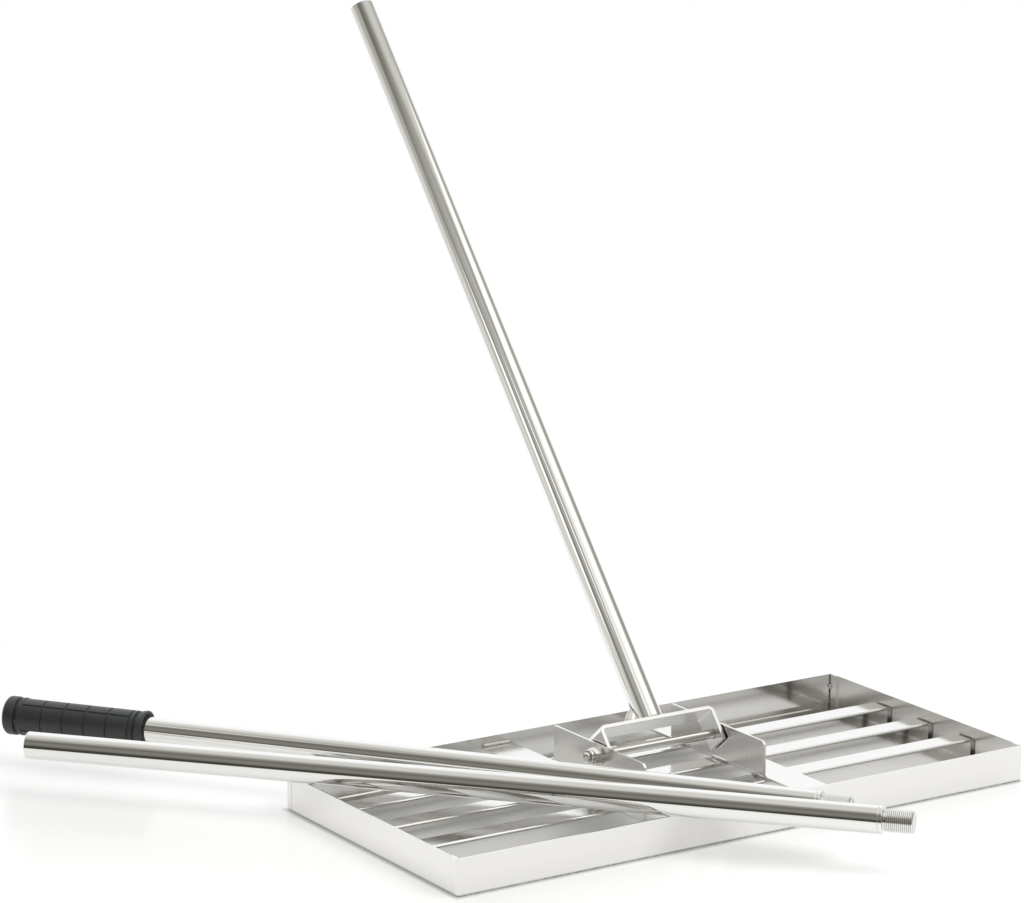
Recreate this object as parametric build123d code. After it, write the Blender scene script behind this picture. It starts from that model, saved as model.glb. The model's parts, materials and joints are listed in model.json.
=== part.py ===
from build123d import *

import os
from math import cos, hypot, radians, sin

# Lawn leveling rake: a tray-shaped head of bent stainless sheet, a handle that swings on a bolt
# between two brackets, and two more handle sections with screw ends that lie loose on the head.
# All lengths are millimetres and all angles degrees.
# The origin is the middle of the head's footprint on the ground.
# +X runs along the head, +Y from its front to its back, and +Z up.

# Tray walls
head_length = 540.0
head_width = 254.0
wall_height = 30.0
wall_sheet = 1.5
wall_bend = 1.0  # inside radius of the bottom bends
corner_bend = 1.5  # inside radius of the upright corner bends
corner_underside = 2.5  # rounding under the corners
corner_tab = 9.0  # reach of a long wall round the corner
tab_gap = 0.2  # between a tab's edge and the end wall's outer face
long_flange = 14.0
end_flange = 24.0
long_relief = 3.5  # from a long wall's end to its bottom bend
flange_gap = 1.0  # between a long flange and an end flange

# Cross bars
bar_width = 21.5
bar_height = 18.5
bar_sheet = 1.5
bar_bend = 0.8
bar_spacing = 55.0
bar_end_gap = 2.5  # from a bar's end to the end wall

# Brackets
bracket_sheet = 2.0
bracket_bend = 2.0
ear_gap = 113.0  # between the two ears
ear_length = 127.0
ear_margin = 8.8  # from the pivot axis to the top of an ear
ear_clip = 2.7
foot_reach = 29.5  # from an ear's outer face to its foot's edge

# Pivot bolt, nut and washers
fold_clearance = 1.6  # under the handle when it lies flat, and under the yoke
bolt_diameter = 8.0
bolt_hole_clearance = 0.4
yoke_running_clearance = 0.16
hex_wall = 2.5  # from the bolt's surface to a flat of its head or nut
hex_chamfer = 0.6
bolt_head_height = 5.3
nut_height = 6.0
nut_clearance = 0.1
nylon_wall = 1.2
nylon_height = 1.4
nut_collar_wall = 0.8
nut_collar_height = 2.0
nut_collar_rounding = 0.6
bolt_stickout = 3.0
bolt_pitch = 1.25
bolt_thread_depth = 0.6
bolt_chamfer = 0.8
washer_rim = 4.0
washer_thickness = 1.6
spacer_thickness = 0.8  # of the washers beside the yoke
washer_play = 0.2  # on each face of a spacer washer

# Yoke
yoke_sheet = 3.5
yoke_bend = 2.0
yoke_strap = 22.0
yoke_rise = 20.4  # from the pivot axis to the seat of the tube
yoke_tail = 9.6  # from the pivot axis to the end of a leg
yoke_tail_rounding = 1.5
handle_lean = 40.0  # from upright, towards the back

# Handle tubes and their screw ends
tube_diameter = 22.0
tube_wall = 3.0
lower_tube_length = 690.0
middle_tube_length = 687.0
upper_tube_length = 682.0
tube_end_chamfer = 0.8
screw_shoulder = 2.0  # from the tube's surface in to the thread's crests
socket_overlap = 0.75  # of the thread's crests over the socket's wall
socket_depth = 30.0
socket_chamfer = 1.0
plug_fit = 0.1
spigot_length = 30.0
plug_collar = 3.2
neck_length = 1.8
thread_length = 21.2
thread_pitch = 1.5
thread_depth = 0.92
thread_chamfer = 0.9
crest_width = 0.3

# Grip, in order from its closed end to its mouth
grip_wall = 3.8
grip_ring_rise = 0.9
grip_fit = 0.1
grip_cap = 2.5
grip_end_ring = 9.6
grip_end_bead = 3.4
grip_end_bead_rise = 0.6
grip_valley_width = 3.0
grip_valley_depth = 1.5
grip_blocks = 5
grip_block_length = 18.0
grip_groove_width = 1.4
grip_groove_depth = 0.9
grip_bead_width = 3.0
grip_lip_length = 5.5
grip_lip_wall = 1.6
grip_mouth_depth = 4.0
grip_rounding = 1.6
grip_flutes = 4
grip_flute_turn = 34.0  # of the first flute about the grip's axis

# How the loose sections lie on the head
rest_gap = 0.3
upper_heading = -53.05  # in plan, from +X
ear_clearance = 9.3  # from the left ear's front corner to the upper section
upper_overhang = 148.6  # past that corner, to the end of the upper plug's collar
sections_splay = 4.3  # between the two loose sections
sections_gap = 1.4  # beside the upper collar
middle_lead = 52.0  # of the middle section's collar past the upper one's

# Welds
bead_radius = 2.6
bead_length = 28.0
tack_radius = 2.0
tack_height = 19.0
tube_weld_leg = 2.6

# Worked out from the sizes above
half_length = head_length / 2
half_width = head_width / 2
wall_inside = half_width - wall_sheet
end_outside = half_length - wall_sheet
end_inside = end_outside - wall_sheet
bar_top = wall_sheet + bar_height
bar_half_length = end_outside - bar_end_gap
foot_top = bar_top + bracket_sheet
ear_inside = ear_gap / 2
ear_outside = ear_inside + bracket_sheet
tube_radius = tube_diameter / 2
tube_bore = tube_diameter - 2 * tube_wall
thread_radius = tube_radius - screw_shoulder
socket_radius = thread_radius - socket_overlap
yoke_swing = hypot(yoke_tail, yoke_strap / 2)
pivot_height = fold_clearance + max(wall_height + tube_radius, bar_top + yoke_swing)
ear_top = pivot_height + ear_margin
bolt_radius = bolt_diameter / 2
bolt_hole = bolt_radius + bolt_hole_clearance / 2
hex_width = bolt_diameter + 2 * hex_wall
nylon_radius = bolt_radius + nylon_wall
nut_bore = bolt_radius + nut_clearance / 2
yoke_half_width = ear_inside - spacer_thickness - 2 * washer_play
bolt_seat = ear_outside + washer_thickness
nut_end = bolt_seat + nut_height + nut_collar_height
loose_height = max(wall_height, foot_top) + rest_gap + tube_radius

from_base = (Align.CENTER, Align.CENTER, Align.MIN)


def outline(points):
    """Flat face inside a closed run of straight lines."""
    return make_face(Polyline(*points, close=True))


def rounded(face, corner, radius):
    """Face with the corner nearest to a point rounded."""
    return fillet(face.vertices().sort_by_distance(corner)[0], radius)


def turned(points):
    """Solid turned about Z from a run of (radius, height) points."""
    return revolve(Plane.XZ * outline(points), Axis.Z)


def angle_face(upright, foot, sheet, bend):
    """Section of a bent sheet: foot along +X, upright along +Y, outer corner at the origin."""
    face = outline([(0, 0), (foot, 0), (foot, sheet), (sheet, sheet), (sheet, upright), (0, upright)])
    face = rounded(face, (sheet, sheet), bend)
    return rounded(face, (0, 0), bend + sheet)


def channel_face(half, bottom, top, sheet, bend):
    """Section of a sheet bent to an inverted U about the Y axis."""
    inner = half - sheet
    left = [(-inner, top - sheet), (-inner, bottom), (-half, bottom), (-half, top)]
    right = [(half, top), (half, bottom), (inner, bottom), (inner, top - sheet)]
    face = outline(left + right)
    for side in (-1, 1):
        face = rounded(face, (side * inner, top - sheet), bend)
        face = rounded(face, (side * half, top), bend + sheet)
    return face


def along_x(face, half):
    """Section drawn in Y and Z, run evenly to both sides along X."""
    return Pos(-half, 0, 0) * extrude(Plane.YZ * face, half * 2)


def along_y(face, half):
    """Section drawn in X and Z, run evenly to both sides along Y."""
    return Pos(0, half, 0) * extrude(Plane.XZ * face, half * 2)


def across(radius, length):
    """Round bar along X, about the origin."""
    return Rot(Y=90) * Cylinder(radius, length)


def on_bolt(place, shape, turn=90):
    """Piece drawn along +Z, put on the bolt's axis at a distance along X and turned to face along it."""
    return Pos(place, 0, pivot_height) * Rot(Y=turn) * shape


def tray_block():
    """Block of the tray's outer size, rounded at its corners and underneath."""
    block = extrude(RectangleRounded(head_length, head_width, corner_bend + wall_sheet), wall_height)
    return fillet(block.edges().group_by(Axis.Z)[0], corner_underside)


def front_wall():
    """Long wall: a tab round each corner, and a bottom bend and flange between them."""
    tab_end = corner_tab - half_width
    left = [(-end_outside, -wall_inside), (-end_outside, tab_end), (-half_length, tab_end), (-half_length, -half_width)]
    right = [(half_length, -half_width), (half_length, tab_end), (end_outside, tab_end), (end_outside, -wall_inside)]
    plan = outline(left + right)
    for side in (-1, 1):
        plan = rounded(plan, (side * end_outside, -wall_inside), corner_bend)
        plan = rounded(plan, (side * half_length, -half_width), corner_bend + wall_sheet)
    bend_half = half_length - long_relief
    straight = Pos(0, -half_width, 0) * Box(2 * bend_half, 2 * (wall_sheet + wall_bend), 2 * wall_height)
    corners = (extrude(plan, wall_height) - straight) & tray_block()
    section = angle_face(wall_height, long_flange, wall_sheet, wall_bend)
    return corners + along_x(Pos(-half_width, 0) * section, bend_half)


def left_end_wall():
    """Short wall with a bottom bend and flange, flush with the long walls' tabs and stepped in behind them."""
    panel_half = half_width - corner_tab - tab_gap
    lap_end = wall_inside - corner_bend
    flange_half = half_width - long_flange - flange_gap
    section = angle_face(wall_height, end_flange, wall_sheet, wall_bend)
    wall = along_y(Pos(-half_length, 0) * section, panel_half)
    lap_start = panel_half - wall_sheet
    lap = Box(wall_sheet, lap_end - lap_start, wall_height - wall_sheet, align=(Align.MIN, Align.MIN, Align.MIN))
    bend_end = -half_length + wall_sheet + wall_bend
    notch_box = Box(end_flange, half_width, 4 * wall_sheet, align=(Align.MIN, Align.MIN, Align.CENTER))
    for turn in (0, 180):
        wall -= Rot(X=turn) * Pos(bend_end, flange_half, 0) * notch_box
    for near in (lap_start, -lap_end):
        wall += Pos(-end_outside, near, wall_sheet) * lap
    return wall


def bar(place):
    """Cross bar at a place along Y, standing on the end flanges."""
    section = channel_face(bar_width / 2, wall_sheet, bar_top, bar_sheet, bar_bend)
    return along_x(Pos(place, 0) * section, bar_half_length)


def right_bracket():
    """Ear beside the yoke, with a foot turned outwards that reaches both long walls."""
    section = angle_face(ear_top - bar_top, foot_reach + bracket_sheet, bracket_sheet, bracket_bend)
    ear = along_y(Pos(ear_inside, bar_top) * section, ear_length / 2)
    foot = Box(foot_reach, 2 * wall_inside, bracket_sheet, align=(Align.MIN, Align.CENTER, Align.MIN))
    clip_side = ear_clip * 2**0.5
    clip = Rot(X=45) * Box(4 * bracket_sheet, clip_side, clip_side)
    hole = across(bolt_hole, 4 * bracket_sheet)
    return (
        ear
        + Pos(ear_outside, 0, bar_top) * foot
        - Pos(ear_inside, -ear_length / 2, ear_top) * clip
        - Pos(ear_inside, 0, pivot_height) * hole
    )


def bracket_welds():
    """Weld bead at each end of the right bracket's foot, in the angle with the wall."""
    straight = bead_length - 2 * bead_radius
    bead = across(bead_radius, straight)
    for side in (-1, 1):
        bead += Pos(side * straight / 2, 0, 0) * Sphere(bead_radius)
    above_foot = Pos(0, 0, foot_top) * Box(head_length, 2 * wall_inside, 2 * bead_radius, align=from_base)
    middle = ear_outside + foot_reach / 2
    return [Pos(middle, side * wall_inside, foot_top) * bead & above_foot for side in (-1, 1)]


def corner_tacks():
    """Tack in each inner corner of the tray."""
    tray_inside = Box(2 * end_inside, 2 * wall_inside, 2 * wall_height)
    tacks = []
    for x_side in (-1, 1):
        for y_side in (-1, 1):
            corner = (x_side * end_inside, y_side * (wall_inside - corner_bend / 2), tack_height)
            tacks.append(Pos(*corner) * Sphere(tack_radius) & tray_inside)
    return tacks


def thread_points(start, length, crest, depth, pitch):
    """Outline of the crests and roots of a thread along a turned piece."""
    points = []
    flank = (pitch - crest_width) / 2
    for turn in range(int(length / pitch)):
        root = start + turn * pitch
        points += [(crest - depth, root), (crest, root + flank), (crest, root + flank + crest_width)]
    return points


def hexagon(height):
    """Hexagonal block with its top corners chamfered, standing on the origin."""
    block = extrude(RegularPolygon(hex_width / 2, 6, major_radius=False), height)
    face_radius = (hex_width - hex_chamfer) / 2
    return block & Cone(face_radius + height, face_radius, height, align=from_base)


def bolt():
    """Hexagon bolt along X, its head on the right and its thread end on the left."""
    tip = nut_end + bolt_stickout
    thread = thread_points(nut_end, bolt_stickout - bolt_chamfer, bolt_radius, bolt_thread_depth, bolt_pitch)
    start = [(0, -bolt_seat), (bolt_radius, -bolt_seat)]
    end = [(bolt_radius, tip - bolt_chamfer), (bolt_radius - bolt_chamfer, tip), (0, tip)]
    return on_bolt(0, turned(start + thread + end), -90) + on_bolt(bolt_seat, hexagon(bolt_head_height))


def washer(inner_face, thickness):
    """Flat washer about the bolt, its left face at a distance along X."""
    ring = Cylinder(bolt_radius + washer_rim, thickness, align=from_base)
    return on_bolt(inner_face, ring - Cylinder(bolt_hole, 2 * thickness, align=from_base))


def nut():
    """Lock nut on the left, with a round collar that holds the nylon ring."""
    collar = Cylinder(nylon_radius + nut_collar_wall, nut_collar_height, align=from_base)
    collar = fillet(collar.edges().sort_by(Axis.Z)[-1], nut_collar_rounding)
    pocket = Cylinder(nylon_radius, nylon_height, align=from_base)
    hole = Cylinder(nut_bore, 4 * nut_height)
    return on_bolt(-bolt_seat, hexagon(nut_height) + Pos(0, 0, nut_height) * (collar - pocket) - hole, -90)


def nylon_ring():
    """Nylon ring in the lock nut's collar."""
    ring = Cylinder(nylon_radius, nylon_height, align=from_base) - Cylinder(nut_bore, 4 * nylon_height)
    return on_bolt(-bolt_seat - nut_height, ring, -90)


def leaned(shape):
    """Piece of the handle, drawn upright about the pivot axis, put at its lean."""
    return Pos(0, 0, pivot_height) * Rot(X=-handle_lean) * shape


def yoke():
    """Strap bent to a U over the bolt, with a hole in each leg."""
    section = channel_face(yoke_half_width, -yoke_tail, yoke_rise, yoke_sheet, yoke_bend)
    strap = along_y(section, yoke_strap / 2)
    strap = fillet(strap.edges().filter_by(Axis.X).group_by(Axis.Z)[0], yoke_tail_rounding)
    return leaned(strap - across(bolt_radius + yoke_running_clearance / 2, 4 * yoke_half_width))


def tube(length, socket):
    """Tube along Z from its plain end, with or without a screw socket at its top."""
    bore = tube_bore / 2
    outside = [(bore, 0), (tube_radius, 0), (tube_radius, length - tube_end_chamfer)]
    inside = [(tube_radius - tube_end_chamfer, length)]
    if socket:
        inside += [(socket_radius + socket_chamfer, length), (socket_radius, length - socket_chamfer)]
        inside += [(socket_radius, length - socket_depth), (bore, length - socket_depth)]
    else:
        inside += [(bore, length)]
    return turned(outside + inside)


def lower_tube():
    """Tube that stands on the yoke, its socket at the top."""
    return leaned(Pos(0, 0, yoke_rise) * tube(lower_tube_length, True))


def tube_weld():
    """Fillet weld beside the lower tube's foot, as wide as the strap."""
    ring = turned([(tube_radius, 0), (tube_radius + tube_weld_leg, 0), (tube_radius, tube_weld_leg)])
    strap = Box(2 * yoke_half_width, yoke_strap, 4 * tube_weld_leg)
    return [leaned(Pos(0, 0, yoke_rise) * side) for side in (ring & strap).solids()]


def plug():
    """Screw end: a spigot inside the tube below the origin, a collar, a neck and a thread along +Z."""
    spigot = (tube_bore - plug_fit) / 2
    root = thread_radius - thread_depth
    thread_start = plug_collar + neck_length
    tip = thread_start + thread_length
    collar = [(tube_radius, 0), (tube_radius, plug_collar - tube_end_chamfer)]
    collar += [(tube_radius - tube_end_chamfer, plug_collar), (root, plug_collar)]
    thread = thread_points(thread_start, thread_length - thread_chamfer, thread_radius, thread_depth, thread_pitch)
    end = [(root, tip - thread_chamfer), (root - thread_chamfer, tip), (0, tip)]
    return turned([(0, -spigot_length), (spigot, -spigot_length), (spigot, 0)] + collar + thread + end)


def notch(start, width, radius, depth):
    """Square groove in a turned outline."""
    floor = radius - depth
    return [(radius, start), (floor, start), (floor, start + width), (radius, start + width)]


def grip():
    """Rubber grip from its closed end along +Z: end ring, bead, grooved blocks, second bead and flared mouth."""
    body = tube_radius + grip_wall
    ring = body + grip_ring_rise
    bore = tube_radius + grip_fit / 2
    end_bead_start = grip_end_ring + grip_valley_width
    blocks_start = end_bead_start + grip_end_bead
    pitch = grip_block_length + grip_groove_width
    blocks_end = blocks_start + grip_blocks * pitch
    bead_end = blocks_end + grip_bead_width
    lip_start = bead_end + grip_valley_width
    mouth = lip_start + grip_lip_length
    points = [(0, 0), (ring - grip_rounding, 0), (ring, grip_rounding), (ring, grip_end_ring - grip_ring_rise)]
    points += notch(grip_end_ring, grip_valley_width, body, grip_valley_depth)
    bead = body + grip_end_bead_rise
    points += [(bead, end_bead_start + grip_end_bead_rise), (bead, blocks_start - grip_end_bead_rise)]
    points += [(body, blocks_start)]
    for block in range(1, grip_blocks + 1):
        points += notch(blocks_start + block * pitch - grip_groove_width, grip_groove_width, body, grip_groove_depth)
    points += notch(bead_end, grip_valley_width, body, grip_valley_depth)
    points += [(ring, mouth - grip_ring_rise), (ring - grip_ring_rise, mouth), (ring - grip_lip_wall, mouth)]
    points += [(bore, mouth - grip_mouth_depth), (bore, grip_cap), (0, grip_cap)]
    solid = turned(points)
    flute = Box(2 * grip_groove_depth, grip_groove_width, blocks_end - blocks_start, align=from_base)
    for turn in range(grip_flutes):
        solid -= Rot(Z=grip_flute_turn + turn * 360 / grip_flutes) * Pos(body, 0, blocks_start) * flute
    return solid


def heading(angle):
    """Direction in plan at an angle from +X."""
    return Vector(cos(radians(angle)), sin(radians(angle)), 0)


def loose_axes():
    """Collar ends and directions of the upper and the middle section, as they lie on the head."""
    upper_way = heading(upper_heading)
    ear_corner = Vector(-ear_outside, -ear_length / 2, loose_height)
    beside_ear = ear_corner + heading(upper_heading - 90) * (tube_radius + ear_clearance)
    upper_collar = beside_ear + upper_way * upper_overhang
    middle_way = heading(upper_heading + sections_splay)
    aside = heading(upper_heading + sections_splay - 90)
    middle_collar = upper_collar + aside * (tube_diameter + sections_gap) + middle_way * middle_lead
    return (upper_collar, upper_way), (middle_collar, middle_way)


def laid(shape, length, collar, way):
    """Piece of a loose section, drawn along +Z from the far end of its tube, laid on the head."""
    return Plane(collar - way * (length + plug_collar), z_dir=way).location * shape


def loose_section(length, socket, collar, way):
    """Tube of a loose section and the screw plug in its end, laid on the head."""
    plug_end = Pos(0, 0, length)
    end_for_end = plug_end * Rot(X=180)
    return laid(end_for_end * tube(length, socket), length, collar, way), laid(plug_end * plug(), length, collar, way)


def all_pieces():
    """Every piece at its place, by name."""
    pieces = {"front_wall": front_wall(), "left_end_wall": left_end_wall()}
    pieces["back_wall"] = Rot(Z=180) * pieces["front_wall"]
    pieces["right_end_wall"] = Rot(Z=180) * pieces["left_end_wall"]
    for row, name in enumerate(("front_bar", "middle_bar", "back_bar")):
        pieces[name] = bar((row - 1) * bar_spacing)
    pieces["right_bracket"] = right_bracket()
    pieces["left_bracket"] = mirror(pieces["right_bracket"], Plane.YZ)
    welds = bracket_welds()
    pieces["right_bracket_welds"] = Compound(welds)
    pieces["left_bracket_welds"] = Compound([mirror(weld, Plane.YZ) for weld in welds])
    pieces["corner_tack_welds"] = Compound(corner_tacks())
    pieces["pivot_bolt"] = bolt()
    pieces["bolt_head_washer"] = washer(ear_outside, washer_thickness)
    pieces["right_spacer_washer"] = washer(yoke_half_width + washer_play, spacer_thickness)
    pieces["left_spacer_washer"] = washer(washer_play - ear_inside, spacer_thickness)
    pieces["nut_washer"] = washer(-bolt_seat, washer_thickness)
    pieces["lock_nut"] = nut()
    pieces["nylon_insert"] = nylon_ring()
    pieces["yoke"] = yoke()
    pieces["lower_tube"] = lower_tube()
    pieces["tube_weld"] = Compound(tube_weld())
    upper, middle = loose_axes()
    pieces["upper_tube"], pieces["upper_plug"] = loose_section(upper_tube_length, False, *upper)
    pieces["middle_tube"], pieces["middle_plug"] = loose_section(middle_tube_length, True, *middle)
    pieces["grip"] = laid(Pos(0, 0, -grip_cap) * grip(), upper_tube_length, *upper)
    return pieces


os.makedirs("parts", exist_ok=True)
for name, piece in all_pieces().items():
    export_step(piece, f"parts/{name}.step")
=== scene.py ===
import json
import math

import bmesh
import bpy
from bpy.props import FloatProperty, FloatVectorProperty, IntProperty, PointerProperty
from bpy.types import NodeSocket, Operator, Panel, PropertyGroup
from mathutils import Matrix, Vector


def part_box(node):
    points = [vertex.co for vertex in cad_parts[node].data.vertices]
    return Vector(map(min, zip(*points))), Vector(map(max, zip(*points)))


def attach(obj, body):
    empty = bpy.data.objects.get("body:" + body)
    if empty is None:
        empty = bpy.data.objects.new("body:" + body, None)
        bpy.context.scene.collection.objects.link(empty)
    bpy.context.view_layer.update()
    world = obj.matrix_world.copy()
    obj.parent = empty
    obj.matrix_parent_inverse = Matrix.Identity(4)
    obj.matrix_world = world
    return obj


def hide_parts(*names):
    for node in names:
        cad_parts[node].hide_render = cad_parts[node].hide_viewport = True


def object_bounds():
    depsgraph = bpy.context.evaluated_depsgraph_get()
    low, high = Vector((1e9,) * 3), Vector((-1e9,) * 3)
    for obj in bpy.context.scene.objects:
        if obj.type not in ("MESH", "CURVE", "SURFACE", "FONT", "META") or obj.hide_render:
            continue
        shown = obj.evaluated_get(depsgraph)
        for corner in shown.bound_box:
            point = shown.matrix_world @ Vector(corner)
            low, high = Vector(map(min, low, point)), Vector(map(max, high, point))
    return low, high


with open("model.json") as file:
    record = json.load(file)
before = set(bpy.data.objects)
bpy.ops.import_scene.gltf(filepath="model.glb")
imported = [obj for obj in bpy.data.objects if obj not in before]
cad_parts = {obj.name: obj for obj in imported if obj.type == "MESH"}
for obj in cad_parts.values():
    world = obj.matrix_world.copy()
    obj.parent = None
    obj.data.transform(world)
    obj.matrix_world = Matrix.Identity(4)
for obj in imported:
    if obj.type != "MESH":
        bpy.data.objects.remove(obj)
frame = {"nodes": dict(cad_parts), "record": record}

bl_info = {
    "name": "Lawn Leveling Rake",
    "version": (1, 0, 0),
    "blender": (4, 5, 0),
    "location": "View3D > Sidebar > Rake",
    "description": "Dresses a stainless lawn leveling rake: sheet, tubes, screw ends, welds and grip",
    "category": "Add Mesh",
}

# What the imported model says
cad_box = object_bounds()
RECORD = frame["record"]
BODY_OF = {node: body for body, nodes in RECORD["behaviour"]["bodies"].items() for node in nodes}
AXIS_OF = {mount["name"]: Vector(mount["axis"]).normalized() for mount in RECORD["mounts"]}

MM = 0.001
ON_AXIS = 1e-7
FULL_TURN = 2 * math.pi

# Materials of the pieces by name
FINISHES = {}


def in_mm(name, description, millimetres):
    """Length setting from millimetres."""
    size = millimetres * MM
    return FloatProperty(name=name, description=description, default=size, unit="LENGTH", precision=5)


def as_colour(name, description, default):
    """Colour setting."""
    return FloatVectorProperty(
        name=name, description=description, default=default, subtype="COLOR", min=0, max=1
    )


def as_share(name, description, default):
    """Setting between 0 and 1."""
    return FloatProperty(name=name, description=description, default=default, min=0, max=1, subtype="FACTOR")


def in_degrees(name, description, degrees):
    """Angle setting from degrees."""
    return FloatProperty(name=name, description=description, default=math.radians(degrees), subtype="ANGLE")


def as_place(name, description, default):
    """Point setting, in metres."""
    return FloatVectorProperty(name=name, description=description, default=default, subtype="TRANSLATION")


class RakeSteelSettings(PropertyGroup):
    """Finishes of the steel pieces."""

    sheet_colour: as_colour("Sheet colour", "Colour of the bent sheet", (0.87, 0.862, 0.845))
    sheet_roughness: as_share("Sheet roughness", "Blur in bars and long walls", 0.12)
    plate_roughness: as_share("Plate roughness", "Blur in end walls, brackets and yoke", 0.205)
    tube_colour: as_colour("Tube colour", "Colour of the handle tubes", (0.88, 0.873, 0.852))
    tube_roughness: as_share("Tube roughness", "Blur of reflections in the tubes", 0.045)
    fastener_colour: as_colour("Fastener colour", "Colour of the fasteners", (0.86, 0.852, 0.835))
    fastener_roughness: as_share("Fastener roughness", "Blur of reflections in the fasteners", 0.09)
    weld_colour: as_colour("Weld colour", "Colour of the weld beads", (0.86, 0.85, 0.83))
    weld_roughness: as_share("Weld roughness", "Blur of reflections in the weld beads", 0.14)
    nylon_colour: as_colour("Nylon colour", "Colour of the lock nut's ring", (0.78, 0.78, 0.73))
    # Colour of painted shade and dirt in inner corners and in the screw's grooves
    shade_and_grime_colour: as_colour("Grime colour", "Colour of dirt in corners", (0.07, 0.065, 0.055))
    edge_rounding: in_mm("Edge rounding", "Rounding of the cut edges of sheet", 0.28)
    yoke_rounding: in_mm("Yoke rounding", "Rounding of the edges of the yoke's strap", 0.9)
    small_rounding: in_mm("Small rounding", "Rounding of edges on bolt, nut and washers", 0.14)


class RakeScrewSettings(PropertyGroup):
    """Tube ends, screw threads and weld beads."""

    bore: in_mm("Tube bore", "Inner radius of the tubes", 8.0)
    socket: in_mm("Socket radius", "Inner radius of the screw sockets, at the crests", 8.25)
    socket_depth: in_mm("Socket depth", "Depth of the screw sockets", 30.0)
    end_rounding: in_mm("End rounding", "Rounding of the tube ends", 0.7)
    collar: in_mm("Collar length", "Length of the collar between tube and screw", 3.2)
    neck: in_mm("Neck length", "Plain length between collar and screw", 1.8)
    thread: in_mm("Thread length", "Length of the screw", 21.2)
    radius: in_mm("Thread radius", "Radius at the crests of the screw", 9.0)
    pitch: in_mm("Thread pitch", "Distance from crest to crest", 1.5)
    depth: in_mm("Thread depth", "Depth of the screw's grooves", 0.92)
    chamfer: in_mm("Thread chamfer", "Bevel at the tip of the screw", 0.9)
    spigot: in_mm("Spigot length", "Length of the plug inside its tube", 12.0)
    crest: as_share("Crest share", "Flat share of each crest", 0.2)
    # Painted shade: share of the dark colour laid into the screw's grooves
    groove_shade: as_share("Groove dirt", "Share of dirt colour in the screw's grooves", 0.27)
    ripple: as_share("Weld ripple", "Depth of the ripples on a weld bead", 0.16)
    ripple_pitch: in_mm("Ripple pitch", "Distance between ripples on a weld bead", 1.7)
    left_bead_toe: in_mm("Left bead toe", "Reach of the weld left of the tube's foot", 11.0)
    left_bead_height: in_mm("Left bead height", "Height of that weld up the tube", 15.0)
    left_bead_turn: in_degrees("Left bead turn", "Turn of that weld to the back", 32)
    sides: IntProperty(name="Sides", description="Faces around each turned piece", default=112, min=12)


class RakeGripSettings(PropertyGroup):
    """Rubber grip, from its closed end to its mouth."""

    colour: as_colour("Rubber colour", "Colour of the grip", (0.04, 0.0445, 0.046))
    # The worn colour also paints highlights on the grip's sharp edges
    worn_and_highlight_colour: as_colour("Worn colour", "Colour where the grip is rubbed", (0.09, 0.094, 0.098))
    roughness: as_share("Rubber roughness", "Blur of reflections in the rubber", 0.43)
    wall: in_mm("Wall", "Thickness of the grip over the tube", 3.8)
    ring_rise: in_mm("Ring rise", "Height of the end rings over the body", 0.9)
    cap: in_mm("Cap", "Thickness of the closed end", 2.5)
    end_ring: in_mm("End ring", "Length of the ring at the closed end", 9.6)
    end_bead: in_mm("End bead", "Length of the bead between end ring and blocks", 3.4)
    end_bead_rise: in_mm("End bead rise", "Height of that bead over the body", 0.6)
    valley_width: in_mm("Valley width", "Width of the grooves beside the end rings", 3.0)
    valley_depth: in_mm("Valley depth", "Depth of the grooves beside the end rings", 1.5)
    block: in_mm("Block", "Length of each block of the body", 18.0)
    groove_width: in_mm("Groove width", "Width of the grooves between blocks", 1.4)
    groove_depth: in_mm("Groove depth", "Depth of the grooves between blocks", 0.9)
    bead: in_mm("Bead", "Length of the bead before the mouth", 3.0)
    lip: in_mm("Lip", "Length of the flared mouth", 5.5)
    lip_wall: in_mm("Lip wall", "Thickness of the flared mouth", 1.6)
    mouth_depth: in_mm("Mouth depth", "Depth of the flare inside the mouth", 4.0)
    end_rounding: in_mm("End rounding", "Rounding of the closed end", 2.4)
    rounding: in_mm("Edge rounding", "Rounding along the grooves", 0.4)
    blocks: IntProperty(name="Blocks", description="Number of blocks along the body", default=5, min=1)
    flutes: IntProperty(name="Flutes", description="Number of grooves along the body", default=4, min=1)
    flute_turn: in_degrees("Flute turn", "Turn of the first flute", 34)


class RakeStageSettings(PropertyGroup):
    """Floor, light and camera."""

    floor_colour: as_colour("Floor colour", "Colour of the white sheet", (0.5, 0.5, 0.498))
    floor_margin: in_mm("Floor margin", "Reach of the sheet past the rake", 230.0)
    floor_glow: as_share("Floor glow", "Light added to the sheet round the head, as it is seen", 0.5)
    # Less glow inside the head paints the head's shadow on the sheet there
    glow_in_painted_shadow: as_share("Inner glow", "Share of that light left on the sheet inside the head", 0.46)
    lamp_position: as_place("Lamp position", "Middle of the soft box", (0.28, -0.71, 1.3))
    lamp_size: in_mm("Lamp size", "Side of the soft box", 1050.0)
    lamp_power: FloatProperty(name="Lamp power", description="Power of the lamp", default=14.0, unit="POWER")
    camera_position: as_place("Camera position", "Place of the camera", (-1.765, -2.502, 0.966))
    camera_heading: in_degrees("Heading", "Turn of the camera about Z", -32.99)
    camera_tilt: in_degrees("Tilt", "Tilt of the camera below the horizon", 12.62)
    camera_roll: in_degrees("Roll", "Roll of the camera about its view", 0.18)
    lens: FloatProperty(name="Lens", description="Focal length in millimetres", default=140.6, min=1)


# Shader nodes


def feed(tree, socket, value):
    """Put a value or a link on an input."""
    if isinstance(value, NodeSocket):
        tree.links.new(value, socket)
    else:
        socket.default_value = value


def put(tree, kind, values=None, **settings):
    """Node with its settings, and with values or links on its inputs."""
    made = tree.nodes.new(kind)
    for name, value in settings.items():
        setattr(made, name, value)
    for name, value in (values or {}).items():
        feed(tree, made.inputs[name], value)
    return made


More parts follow.
